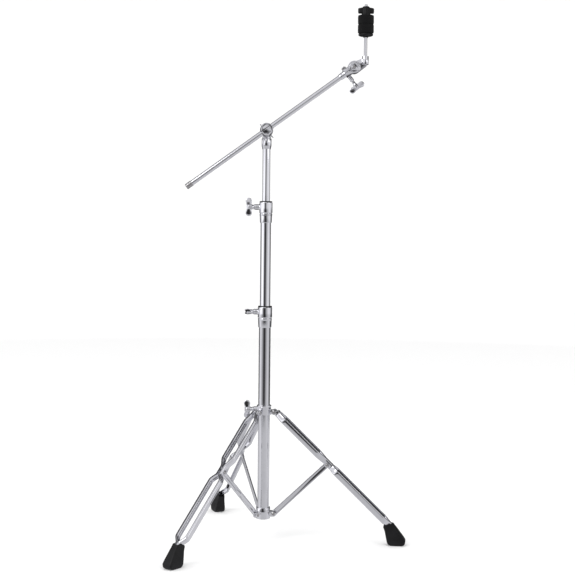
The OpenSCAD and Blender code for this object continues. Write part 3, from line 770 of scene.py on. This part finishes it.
@dataclass
class Tripod:
    """Hub, sliding collar, three two-bar legs with rubber feet, and their stays.

    Sizes are in millimetres.
    """

    shop: Workshop
    bar_depth: float = 14.5
    bar_width: float = 6.0
    bar_wall: float = 1.6
    bar_rise: float = 3.2
    half_top: float = 3.65
    half_full: float = 12.5
    half_waist: float = 1.65
    half_foot: float = 0.6
    ear_r: float = 6.5
    loop_top: float = 36.0
    waist_close: float = 26.0
    waist_half: float = 12.0
    waist_open: float = 18.0
    foot_h: float = 54.0
    foot_turn: float = 20.0
    rivet_r: float = 2.5
    top_joints: tuple[str, ...] = ("collar_hinge", "leg_2_hinge", "leg_3_hinge")
    mid_joints: tuple[str, ...] = ("leg_1_hinge", "stay_2_hinge", "stay_3_hinge")

    def leg_frame(self, leg: int) -> Array:
        """A leg's own frame: X down the leg from its top pivot, Y across it."""
        top = self.shop.pivot(self.top_joints[leg - 1])
        mid = self.shop.pivot(self.mid_joints[leg - 1])
        return frame_at(top, mid - top, self.shop.axis(self.top_joints[leg - 1]))

    def stay_length(self) -> float:
        """Distance between a leg's two pivots, in millimetres."""
        gap = self.shop.pivot(self.mid_joints[0]) - self.shop.pivot(self.top_joints[0])
        return float(np.linalg.norm(gap)) / MM

    def inner_edge(self, leg: int, count: int = 260) -> Array:
        """The line of a bar's inner edge, from its ear into the foot.

        The half gap is read off straight stations, and eased through each bend by a
        moving average, so that the bar sweeps from bend to bend.

        Args:
            leg: which leg.
            count: points along the bar.

        Returns:
            Distance down the leg and half gap, in millimetres.
        """
        waist = self.stay_length()
        place = self.leg_frame(leg)
        fall = -place[2, 0]
        top_z = place[2, 3] / MM
        close = (top_z - self.foot_h + 5) / fall
        end = (top_z - self.foot_h + 16) / fall - 0.6
        stations = np.array(
            [
                (4.0, self.half_top), (11.0, self.half_top), (self.loop_top - 4, self.half_full),
                (waist - self.waist_half - self.waist_close + 3, self.half_full),
                (waist - self.waist_half - 2, self.half_waist),
                (waist + self.waist_half + 2, self.half_waist),
                (waist + self.waist_half + self.waist_open - 2, self.half_full),
                (close - self.foot_turn + 3, self.half_full), (close - 2, self.half_foot),
                (end, self.half_foot),
            ]
        )
        x = np.linspace(stations[0, 0], end, count)
        half = np.interp(x, stations[:, 0], stations[:, 1])
        half = average(np.r_[[half[0]] * 3, half, [half[-1]] * 3], 9)
        return np.stack([x, half], 1)

    def section(self) -> Array:
        """A bar's pressed channel: outward and upward offsets from its inner edge."""
        w, wall = self.bar_width, self.bar_wall
        low = self.bar_rise - self.bar_depth / 2
        high = low + self.bar_depth
        outer = [(0, low), (w, low), (w, high), (0, high)]
        inner = [(0, high - wall), (w - wall, high - wall), (w - wall, low + wall), (0, low + wall)]
        big = soften(outer, 2.9)
        small = soften(inner, 1.2)
        return np.concatenate([big, small])

    def bar(self, leg: int, side: int) -> list[Shell]:
        """One formed bar: its channel is carried along the inner edge's normal.

        Args:
            leg: which leg.
            side: 1 or -1, the side of the leg.

        Returns:
            The channel, and the pressed ears round its pivots.
        """
        line = self.inner_edge(leg)
        slope = np.gradient(line, axis=0)
        slope /= np.linalg.norm(slope, axis=1, keepdims=True)
        normal = np.stack([-slope[:, 1], slope[:, 0]], 1)
        cut = self.section()
        rings = np.empty((len(line), len(cut), 3))
        rings[..., 0] = line[:, None, 0] + normal[:, None, 0] * cut[None, :, 0]
        rings[..., 1] = side * (line[:, None, 1] + normal[:, None, 1] * cut[None, :, 0])
        rings[..., 2] = cut[None, :, 1]
        place = self.leg_frame(leg)
        shells = [loft(rings * MM).placed(place)]
        for x, half in ((0.0, self.half_top), (self.stay_length(), self.half_waist)):
            ear = turned(
                [
                    (self.rivet_r, half), (self.ear_r, half), (self.ear_r, half + self.bar_width),
                    (self.rivet_r, half + self.bar_width),
                ],
                0.9, closed=True, segments=48,
            )
            shells.append(ear.placed(place @ shift(x=x) @ spin(-90 * side, "X")))
        ear_bridge = pillow(
            self._bridge(), (self.bar_width - 0.4) * MM, 10.0
        ).placed(place @ shift(x=7.0, y=side * (self.half_top + self.bar_width / 2), z=1.2))
        return shells + [ear_bridge]

    def _bridge(self) -> Array:
        """The web between a bar's top ear and its channel, as an outline."""
        corners = [(-7, -4.5), (6, -3.4), (6, 7.2), (-3, 6.6), (-9, 3.6)]
        return soften(corners, 2.5, loop=True, steps=8) * MM

    def rivet(self, place: Array, half: float) -> Shell:
        """A domed rivet across a leg.

        Args:
            place: its frame, with Y along the rivet.
            half: half the width it holds, in millimetres.

        Returns:
            The rivet.
        """
        head, dome = self.rivet_r * 1.7, 1.9
        right = [
            (0, half + dome), (head * 0.55, half + dome * 0.9), (head * 0.9, half + dome * 0.5),
            (head, half + 0.1), (self.rivet_r, half), (self.rivet_r, 0),
        ]
        line = right + [(r, -z) for r, z in right[-2::-1]]
        return turned(line, 0.35, segments=40).placed(place @ spin(-90, "X"))

    def foot_rings(self) -> Array:
        """Rings of a rubber foot, from its sole up to the mouth and down inside it.

        Each ring is a rounded rectangle between an inner and an outer point of the
        foot's side view, tilting little by little from the sole to the mouth.

        Returns:
            Rings in millimetres, X away from the tube and the sole's middle at 0.
        """
        top = self.foot_h
        keys = np.array(
            [
                # inner x, z; outer x, z; half width; crown
                (-9, 0.0, 9, 0.0, 9.5, 0), (-12.5, 0.0, 13.5, 0.0, 12.2, 0),
                (-16.5, 1.0, 18.4, 1.6, 13.5, 0), (-20, 3.6, 21.6, 5.6, 13.9, 0),
                (-22.6, 7.4, 22.6, 12.0, 13.9, 0), (-24.0, 13.5, 18.6, 19.0, 13.2, 0),
                (-26.2, 24, 10.8, 29.5, 11.6, 0), (-28.6, 35, 2.4, 41, 9.8, 0.6),
                (-31.4, top - 12.0, -4.6, top - 4.6, 8.9, 2.2),
                (-32.2, top - 9.4, -6.0, top - 2.0, 8.7, 3.2),
                (-31.4, top - 8.0, -7.4, top - 1.0, 8.2, 3.6),
                (-30.0, top - 8.2, -8.8, top - 1.8, 7.4, 3.2),
                (-28.8, top - 14, -8.6, top - 9, 7.1, 1.0),
            ]
        )
        t = np.linspace(0, len(keys) - 1, 73)
        rows = np.stack([np.interp(t, np.arange(len(keys)), keys[:, k]) for k in range(6)], 1)
        kernel = np.hanning(7)[1:-1]
        kernel /= kernel.sum()
        eased = np.stack([np.convolve(rows[:, k], kernel, "same") for k in range(6)], 1)
        rows[2:-2] = eased[2:-2]
        angle = np.linspace(0, TAU, 96, endpoint=False)
        c, s = np.cos(angle), np.sin(angle)
        power = 2.0 / 9.0
        along = np.sign(c) * np.abs(c) ** power
        across = np.sign(s) * np.abs(s) ** power
        inner, outer = rows[:, 0:2], rows[:, 2:4]
        middle, half = (inner + outer) / 2, (outer - inner) / 2
        rings = np.empty((len(rows), len(angle), 3))
        rings[..., 0] = middle[:, None, 0] + half[:, None, 0] * along
        crown = rows[:, 5:6] * (1 - along**2)
        rings[..., 2] = middle[:, None, 1] + half[:, None, 1] * along + crown
        rings[..., 1] = rows[:, 4:5] * across
        rings[..., 2] = np.maximum(rings[..., 2], 0.0)
        return rings

    def build(self) -> None:
        """Build the tripod and dress what stays of the CAD."""
        shop = self.shop
        for leg in (1, 2, 3):
            body, place = f"leg_{leg}", self.leg_frame(leg)
            for side, word in ((1, "left"), (-1, "right")):
                node = f"leg_{leg}_bar_{word}"
                shop.make(f"{node}_formed", self.bar(leg, side), body, Finish.CHROME, (node,))
            waist = place @ shift(x=self.stay_length())
            rivets = [
                self.rivet(place, self.half_top + self.bar_width),
                self.rivet(waist, self.half_waist + self.bar_width),
            ]
            shop.make(f"leg_{leg}_domed_rivets", rivets, body, Finish.STEEL, (f"leg_{leg}_rivets",))
            sole = shop.mounts[f"sole_{leg}"]
            out = np.array([sole[0], sole[1], 0.0])
            y = self.shop.axis(self.top_joints[leg - 1])
            foot = loft(self.foot_rings() * MM).placed(frame_at(sole, out, y))
            shop.make(f"leg_{leg}_rubber_foot", [foot], body, Finish.RUBBER, (f"leg_{leg}_foot",))
            shop.soften_copy(f"stay_{leg}", f"stay_{leg}", 0.7 * MM, f"stay_{leg}_pressed")
        shop.soften_copy("hub", "base", 0.6 * MM)
        shop.soften_copy("leg_collar", "leg_collar", 0.6 * MM)
        collar = shop.pivot("collar_screw_turn")
        screw = WingScrew(4.0, 33.5, flange_z=26.0, shank_z=15.5)
        place = frame_at(np.array([0, 0, collar[2]]), np.array([0.0, 0, 1]), ACROSS)
        shells = screw.shells(place)
        shop.make("collar_wing_screw", shells, "collar_screw", Finish.CHROME, ("collar_screw",))
        for node in ("base_tube", "tube_plug", "collar_liner", "hub_rivets"):
            shop.dress_node(node)


# --------------------------------------------------------------- tube clamps


@dataclass
class TubeClamp:
    """A clamp casting with its nylon bush and wing screw; sizes in millimetres."""

    shop: Workshop
    key: str
    body: str
    bottom: float
    outer_r: float
    inner_r: float
    casting_r: float
    screw_turn: float
    height: float = 53.0
    ferrule_h: float = 22.5
    lip: float = 1.8
    boss_reach: float = 27.4
    screw_r: float = 4.0
    bush_wall: float = 2.5

    def casting(self) -> list[Shell]:
        """The tapered ferrule, the groove at the seam, the body and the screw's boss."""
        r, f = self.casting_r, self.ferrule_h
        top = self.height - self.lip - 0.3
        bore = self.inner_r + self.bush_wall + 0.12
        side = [
            (self.outer_r + 0.02, 0), (self.outer_r + 1.1, 0), (self.outer_r + 1.6, 1),
            (r - 0.9, f - 5), (r - 0.45, f - 1.6), (r - 0.5, f - 0.5), (r - 1.25, f),
            (r - 1.25, f + 1.3), (r - 0.35, f + 1.8), (r, f + 3), (r, top - 1.6), (r - 1, top),
            (bore, top), (bore, f + 3), (self.outer_r + 0.02, f + 3),
        ]
        body = turned(side, 0.5, closed=True, segments=96)
        hole, end = self.screw_r + 0.06, self.boss_reach - r + 2.8
        boss = turned(
            [
                (hole, 0), (hole, -1e-3), (self.screw_r + 5.2, 0), (self.screw_r + 3.2, 2.6),
                (self.screw_r + 2.8, 5), (self.screw_r + 2.8, end - 0.8),
                (self.screw_r + 2.2, end), (hole, end),
            ],
            0.6, closed=True, segments=56,
        )
        place = shift(z=self.bottom)
        boss_place = shift(x=-r + 2.8, z=self.bottom + self.screw_z()) @ spin(-90, "Y")
        return [body.placed(place), boss.placed(boss_place)]

    def screw_z(self) -> float:
        """Height of the screw above the casting's foot."""
        return 0.73 * self.height

    def bush(self) -> Shell:
        """The nylon bush with its lip on the casting."""
        low, top = self.ferrule_h + 3.3, self.height - self.lip
        inner = self.inner_r + 0.06
        outer, lip = inner + self.bush_wall, self.casting_r - 0.5
        corners = [
            (inner, low), (outer, low), (outer, top), (lip, top), (lip, self.height - 0.5),
            (lip - 0.7, self.height), (inner + 0.5, self.height), (inner, self.height - 0.6),
        ]
        return turned(corners, 0.3, closed=True, segments=96).placed(shift(z=self.bottom))

    def build(self) -> None:
        """Build the casting, its bush and its screw."""
        shop, key = self.shop, self.key
        clamp, bush, turning = (f"{key}_{part}" for part in ("clamp", "bush", "screw"))
        shop.make(f"{clamp}_casting", self.casting(), self.body, Finish.CHROME, (clamp,))
        shop.make(f"{key}_nylon_bush", [self.bush()], bush, Finish.NYLON, (bush,))
        axis = np.array([-1.0, 0, 0])
        z = (self.bottom + self.screw_z()) * MM
        turn = math.radians(self.screw_turn)
        y = np.array([0, math.cos(turn), math.sin(turn)])
        place = frame_at(np.array([0, 0, z]), np.cross(y, axis), y)
        screw = WingScrew(
            self.screw_r, 33.5, flange_z=self.boss_reach + 0.4,
            shank_z=self.inner_r + self.bush_wall + 0.4,
        )
        shop.make(f"{key}_wing_screw", screw.shells(place), turning, Finish.CHROME, (turning,))


# ---------------------------------------------------------------- boom parts


@dataclass
class BoomClamp:
    """The base on the upper tube, the drum that grips the rod, and its wing nut."""

    shop: Workshop

    def build(self) -> None:
        """Build the castings, and dress the plain turned parts."""
        shop = self.shop
        shop.soften_copy("boom_base", "upper", 0.5 * MM)
        shop.soften_copy("boom_drum", "boom_clamp", 0.7 * MM)
        centre = shop.pivot("boom_tilt").copy()
        centre[1] = 0.0
        turn = math.radians(45.0)
        x = np.array([math.cos(turn), 0, -math.sin(turn)])
        place = frame_at(centre, x, np.cross(ACROSS, x))
        nut = WingScrew(4.0, 11.3, span=47.0, shank_z=5.3)
        shop.make(
            "boom_wing_nut_cast", nut.shells(place, bore_r=4.06), "boom_nut", Finish.CHROME,
            ("boom_wing_nut",),
        )
        for node in ("friction_ring", "boom_stud", "boom_bush", "upper_tube", "mid_tube"):
            shop.dress_node(node)


@dataclass
class Boom:
    """The boom rod with its tail cap; sizes in millimetres."""

    shop: Workshop
    rod_r: float = 6.35
    tail: float = 239.0
    cap: float = 17.0

    def frame(self) -> Array:
        """The boom's own frame: X up the rod from the clamp."""
        axis = self.shop.axis("boom_turn")
        return frame_at(self.shop.pivot("boom_tilt"), axis, ACROSS)

    def build(self) -> None:
        """Build the ringed cap and dress the rod."""
        r, crest, groove = self.rod_r, self.rod_r + 0.8, self.rod_r + 0.35
        cap = turned(
            [
                (0, 0), (r - 0.4, 0), (crest, 1.4), (crest, 4), (groove, 4.5), (groove, 5.3),
                (crest, 5.8), (crest, 10), (groove, 10.5), (groove, 11.3), (crest, 11.8),
                (crest, self.cap - 1), (r + 0.3, self.cap), (r - 0.5, self.cap),
                (0, self.cap - 0.2),
            ],
            0.35,
        )
        place = self.frame() @ shift(x=-self.tail) @ spin(90, "Y")
        self.shop.make("boom_tail_cap", [cap.placed(place)], "boom", Finish.STEEL, ("tail_cap",))
        self.shop.dress_node("boom_rod")


@dataclass
class Tilter:
    """The tilter: split ring with its pinch bolt, and the arm that turns in it."""

    shop: Workshop
    pinch_off: float = 22.0
    pinch_top: float = 16.6
    lip_h: float = 20.2

    def build(self) -> None:
        """Build the castings and the wing bolt."""
        shop = self.shop
        for part, body, width in (
            ("clamp", "boom", 0.7), ("arm", "cymbal_arm", 0.7), ("cap", "cymbal_arm", 0.35),
            ("screw", "cymbal_arm", 0.2), ("nut", "boom", 0.35),
        ):
            shop.soften_copy(f"tilter_{part}", body, width * MM)
        axis = shop.axis("boom_turn")
        down = np.cross(axis, ACROSS)
        down = down if down[2] < 0 else -down
        centre = shop.pivot("cymbal_tilt") - axis * self.pinch_off * MM - down * self.pinch_top * MM
        place = frame_at(centre, axis, np.cross(down, axis))
        reach = self.pinch_top + 35.0
        flange = self.pinch_top + self.lip_h / 2 + 11
        bolt = WingScrew(3.0, reach, span=41.0, length=16.0, flange_z=flange)
        spacer = turned(
            [(0, 0), (4.8, 0), (4.8, 12), (0, 12)], 0.7, segments=48
        ).placed(place @ shift(z=self.pinch_top + self.lip_h / 2 + 0.3))
        shop.make(
            "tilter_wing_bolt", bolt.shells(place) + [spacer], "tilter_bolt", Finish.CHROME,
            ("tilter_bolt",),
        )


# --------------------------------------------------------------- cymbal seat


@dataclass
class CymbalSeat:
    """The threaded rod with its washer, sleeve, felts and wing nut, in millimetres."""

    shop: Workshop
    seed: int = 7
    nut_width: float = 38.6
    nut_height: float = 21.0
    nut_hub: float = 10.8
    felt_r: float = 19.3
    felt_bore: float = 6.4
    pitch: float = 1.25
    pilot: float = 5.0

    def post(self) -> Array:
        """The foot of the cymbal rod's axis: above it, Z is up the rod."""
        low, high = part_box("cymbal_rod")
        x, y = (low[0] + high[0]) / 2, (low[1] + high[1]) / 2
        return np.array(Matrix.Translation((x, y, 0.0)))

    def felt(self, node: str) -> Shell:
        """A pressed felt: a turned washer whose rim swells, creases and frays.

        Args:
            node: the CAD felt it stands for.

        Returns:
            The felt's surface.
        """
        low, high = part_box(node)
        thick, r = (high[2] - low[2]) / MM, self.felt_r
        corners = [
            (self.felt_bore, 0.1), (r - 1.6, 0.0), (r - 0.3, 1.3), (r, thick * 0.3),
            (r - 0.12, thick * 0.5), (r, thick * 0.7), (r - 0.3, thick - 1.3), (r - 1.6, thick),
            (self.felt_bore, thick - 0.1),
        ]
        line = soften(corners, 1.4, loop=True, steps=7)
        shell = lathe(line * MM, closed=True, segments=220)
        rng = np.random.default_rng(self.seed)
        angle = np.arctan2(shell.points[:, 1], shell.points[:, 0])
        z = shell.points[:, 2] / MM
        rim = np.clip((np.hypot(shell.points[:, 0], shell.points[:, 1]) / MM - 15) / 4, 0, 1)
        waves = rng.uniform(3, 70, (18, 2)).round()
        phase = rng.uniform(0, TAU, 18)
        drift = np.outer(z / thick, waves[:, 1]) * 0.6
        swell = np.sin(np.outer(angle, waves[:, 0]) + drift + phase)
        swell = (swell / np.sqrt(waves[:, 0])).sum(1) * 0.045 * rim
        shell.points[:, :2] *= (1 + swell / self.felt_r)[:, None]
        return shell.placed(self.post() @ shift(z=low[2] / MM))

    def nut(self) -> list[Shell]:
        """The moulded wing nut: a fluted hub with a gable-topped bar across it."""
        low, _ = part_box("cymbal_nut")
        w, h = self.nut_width / 2, self.nut_height
        gable = [
            (-w + 1.2, 4 - h / 2), (w - 1.2, 4 - h / 2), (w, 6 - h / 2), (w, h / 2 - 5.5),
            (w - 2, h / 2 - 4), (0, h / 2 - 1.2), (-w + 2, h / 2 - 4), (-w, h / 2 - 5.5),
            (-w, 6 - h / 2),
        ]
        outline = soften(gable, 1.4, loop=True, steps=7) * MM
        bar = pillow(outline, 13.0 * MM, 12.0, 0.0, 18)
        hub_line = soften(
            [(0, 0.1), (self.nut_hub - 0.6, 0.0), (self.nut_hub, 0.8), (self.nut_hub, h - 4),
             (self.nut_hub - 4, h), (0, h)], 0.8
        )
        hub = lathe(hub_line * MM, segments=144, flute=0.035, flutes=18)
        place = self.post() @ shift(z=low[2] / MM)
        return [bar.placed(place @ shift(z=h / 2)), hub.placed(place)]

    def rod(self) -> Shell:
        """The rod: smooth below, its thread a helix whose height rises with the angle.

        The radius falls from the crest by the thread's depth times how far a point is
        from the crest's helix, and the thread fades in above the seat.

        Returns:
            The rod's surface.
        """
        low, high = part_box("cymbal_rod")
        bottom, top = low[2] / MM, high[2] / MM
        z = np.concatenate([[bottom], np.linspace(bottom + 0.4, top - 0.5, 900), [top]])
        angle = np.linspace(0, TAU, 36, endpoint=False)
        step = (z[:, None] / self.pitch - angle[None, :] / TAU) % 1.0
        groove = np.abs(2 * step - 1) ** 1.3
        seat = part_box("seat_washer")[0][2] / MM
        fade = np.clip((z - seat - 4) / 3, 0, 1) * np.clip((top - z) / 0.8, 0, 1)
        r = 3.98 - 0.5 * groove * fade[:, None]
        pilot = np.clip((z - (top - self.pilot)) / 0.6, 0, 1)[:, None]
        r = np.minimum(r - 0.05, 3.98 - 0.6 * pilot)
        r = r - 0.5 * (1 - np.clip((top - z) / 0.8, 0, 1)[:, None])
        rings = np.stack([r * np.cos(angle), r * np.sin(angle), z[:, None] + 0 * angle], -1)
        return loft(rings * MM).placed(self.post())

    def washer(self) -> Shell:
        """The dished seat washer, with a rolled rim."""
        low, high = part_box("seat_washer")
        foot, top, r = low[2] / MM, high[2] / MM, (high[0] - low[0]) / 2 / MM
        corners = [
            (4.05, foot), (6.2, foot), (6.7, foot + 3), (r - 3, foot + 3.2), (r - 0.2, foot + 4.8),
            (r, top - 1.2), (r - 0.8, top), (4.05, top),
        ]
        return turned(corners, 0.7, closed=True, segments=96).placed(self.post())

    def build(self) -> None:
        """Build everything on the cymbal rod."""
        shop, arm = self.shop, "cymbal_arm"
        shop.make("cymbal_threaded_rod", [self.rod()], arm, Finish.CHROME, ("cymbal_rod",), 60)
        shop.make("seat_dished_washer", [self.washer()], arm, Finish.NYLON, ("seat_washer",))
        for node in ("lower_felt", "upper_felt"):
            made = shop.make(f"{node}_pressed", [self.felt(node)], arm, Finish.FELT, (node,), 80)
        nut = "cymbal_nut"
        shop.make("cymbal_wing_nut_moulded", self.nut(), nut, Finish.NYLON, (nut,))
        shop.dress_node("seat_sleeve")


# -------------------------------------------------------------------- studio


@dataclass
class Studio:
    """Pale floor, soft lights, the tent that chrome mirrors, and the camera."""

    distance: float = 3.0
    height: float = 0.77297
    pitch: float = 0.0494
    roll: float = 0.0105
    yaw: float = -0.0182
    lens: float = 76.774
    radius: float = 5.5
    tiers: tuple[tuple[float, float, tuple[tuple[float, float], ...]], ...] = (
        # lower edge and upper edge of the blend from the tier below, then angle and shade
        (-9.0, -8.0, (
            (-180, 0.02), (-166, 0.03), (-158, 0.50), (-110, 0.62), (-75, 0.80), (-35, 0.62),
            (-20, 0.56), (40, 0.60), (90, 0.72), (158, 0.60), (166, 0.03), (180, 0.02),
        )),
        (-0.66, -0.42, (
            (-180, 0.03), (-135, 0.05), (-112, 0.40), (-88, 0.98), (-66, 0.66), (-46, 0.44),
            (-28, 0.15), (-8, 0.02), (2, 0.03), (12, 0.14), (34, 0.46), (60, 0.68), (80, 0.74),
            (104, 0.16), (150, 0.03), (180, 0.03),
        )),
        (0.10, 0.22, (
            (-180, 0.03), (-145, 0.06), (-124, 0.22), (-96, 0.80), (-80, 1.35), (-52, 1.30),
            (-38, 0.60), (-24, 0.08), (-2, 0.02), (6, 0.10), (14, 0.30), (30, 0.52), (50, 0.80),
            (70, 0.96), (98, 0.62), (115, 0.20), (150, 0.06), (180, 0.03),
        )),
        (0.80, 1.00, (
            (-180, 0.03), (-160, 0.10), (-128, 0.42), (-105, 1.00), (-60, 1.30), (-36, 1.20),
            (-26, 0.60), (-18, 0.12), (-2, 0.10), (8, 0.50), (20, 0.74), (60, 0.92), (100, 0.84),
            (122, 0.40), (155, 0.10), (180, 0.03),
        )),
        (1.45, 2.05, (
            (-180, 0.20), (-150, 0.25), (-138, 0.08), (-108, 0.12), (-96, 0.88), (-20, 0.74),
            (10, 0.62), (24, 0.40), (34, 0.06), (128, 0.05), (150, 0.25), (180, 0.20),
        )),
    )

    def sheet(
        self, name: str, points: Array, material: bpy.types.Material, wrap: bool
    ) -> bpy.types.Object:
        """Stand an open surface on the stage.

        Args:
            name: its name.
            points: rows of points.
            material: its material.
            wrap: each row closes on itself.

        Returns:
            The new object.
        """
        rows, columns = points.shape[:2]
        index = np.arange(rows * columns).reshape(rows, columns)
        here, beside = (index, np.roll(index, -1, 1)) if wrap else (index[:, :-1], index[:, 1:])
        quads = np.stack([here[:-1], beside[:-1], beside[1:], here[1:]], -1)
        mesh = bpy.data.meshes.new(name)
        mesh.from_pydata(points.reshape(-1, 3).tolist(), [], quads.reshape(-1, 4).tolist())
        mesh.polygons.foreach_set("use_smooth", np.ones(len(mesh.polygons), bool))
        mesh.materials.append(material)
        made = bpy.data.objects.new(name, mesh)
        bpy.context.scene.collection.objects.link(made)
        return made

    def floor(self) -> None:
        """A broad pale floor that curves up into the backdrop far behind."""
        u = np.linspace(-9.0, 9.0, 25)
        t = np.linspace(0, 1, 60)
        flat = 0.6  # share of the rows that lie flat
        bend = (t - flat) / (1 - flat) * math.pi / 2
        run = np.where(t < flat, -6.0 + t / flat * 13.0, 7.0 + 2.0 * np.sin(bend))
        rise = np.where(t < flat, 0.0, 6.0 * (1 - np.cos(bend)))
        points = np.stack(np.broadcast_arrays(u[None], run[:, None], rise[:, None]), -1)
        made = self.sheet("studio_floor", points, StudioPaper().material(), wrap=False)
        made.visible_glossy = False

    def tent(self) -> None:
        """A round tent that only glossy rays see, shaded by height and by the way it faces.

        Each tier has a ramp over the angle about the stand, 0 in the middle on the
        camera's side, and the tiers blend into each other by height. The shape is a
        sphere: rings of radius R sin(polar angle) at heights R cos(polar angle).
        """
        g = Graph("light_tent")
        place = g.node("ShaderNodeTexCoord", output="Object")
        split = g.node("ShaderNodeSeparateXYZ", inputs={0: place})
        y, height = (Wire(g, split.socket.node.outputs[k]) for k in (1, 2))
        turn = g.node("ShaderNodeMath", {"operation": "ARCTAN2"}, {0: split, 1: y * -1.0})
        turn = turn * (1 / TAU) + 0.5
        tone: Wire | None = None
        for low, high, shades in self.tiers:
            stops = [(angle / 360.0 + 0.5, (shade, shade, shade * 1.03)) for angle, shade in shades]
            tier = g.node("ShaderNodeValToRGB", {"stops": stops}, {0: turn})
            blend = g.band(height, low, high)
            tone = tier if tone is None else g.node(
                "ShaderNodeMix", {"data_type": "RGBA"}, {0: blend, 6: tone, 7: tier}, output=2
            )
        light = g.node("ShaderNodeEmission", inputs={"Color": tone})
        out = g.tree.nodes.new("ShaderNodeOutputMaterial")
        g.tree.links.new(light.socket, out.inputs["Surface"])
        around = np.linspace(0, TAU, 96, endpoint=False)
        polar = np.linspace(0.02, math.pi - 0.02, 40)
        rings = self.radius * np.stack(
            [
                np.sin(polar)[:, None] * np.cos(around),
                np.sin(polar)[:, None] * np.sin(around),
                np.cos(polar)[:, None] + 0 * around,
            ],
            -1,
        )
        made = self.sheet("light_tent", rings, g.material, wrap=True)
        made.visible_camera = made.visible_diffuse = made.visible_shadow = False

    def lamp(self, name: str, at: Sequence[float], size: float, power: float) -> None:
        """A square soft light aimed at the middle of the stand."""
        data = bpy.data.lights.new(name, "AREA")
        data.shape, data.size, data.energy = "SQUARE", size, power
        made = bpy.data.objects.new(name, data)
        made.location = at
        aim = Matrix.Translation((0, 0, 0.7)).translation - made.location
        made.rotation_euler = aim.to_track_quat("-Z", "Y").to_euler()
        bpy.context.scene.collection.objects.link(made)

    def camera(self) -> None:
        """The camera, a little below the middle of the stand and level with it."""
        data = bpy.data.cameras.new("studio_camera")
        data.lens, data.sensor_width, data.clip_end = self.lens, 36.0, 60.0
        made = bpy.data.objects.new("studio_camera", data)
        place = Matrix.Translation((0, -self.distance, self.height))
        place = place @ Matrix.Rotation(self.yaw, 4, "Z")
        place = place @ Matrix.Rotation(math.pi / 2 - self.pitch, 4, "X")
        made.matrix_world = place @ Matrix.Rotation(self.roll, 4, "Z")
        bpy.context.scene.collection.objects.link(made)
        bpy.context.scene.camera = made

    def build(self) -> None:
        """Set the stage."""
        scene = bpy.context.scene
        scene.view_settings.view_transform = "Standard"
        world = bpy.data.worlds.new("studio_world")
        scene.world = world
        world.use_nodes = True
        sky = world.node_tree.nodes["Background"].inputs
        sky["Color"].default_value = (1.0, 1.0, 1.0, 1)
        sky["Strength"].default_value = 1.1
        self.floor()
        self.camera()
        self.lamp("key_light", (-2.6, -2.2, 2.8), 1.6, 38.0)
        self.lamp("fill_light", (2.8, -2.0, 2.0), 1.8, 14.0)
        self.tent()


def main() -> None:
    """Load the frame, build every sub-assembly round it and set the stage."""
    logging.basicConfig(level=logging.INFO, format="%(name)s: %(message)s")
    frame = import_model()
    shop = Workshop(frame)
    Studio().build()
    Tripod(shop).build()
    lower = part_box("lower_clamp")[0][2] / MM
    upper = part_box("upper_clamp")[0][2] / MM
    TubeClamp(shop, "lower", "base", lower, 14.3, 12.7, 17.5, 70.0).build()
    TubeClamp(shop, "upper", "middle", upper, 12.7, 9.525, 16.0, 0.0).build()
    BoomClamp(shop).build()
    Boom(shop).build()
    Tilter(shop).build()
    CymbalSeat(shop).build()


if __name__ == "__main__":
    main()
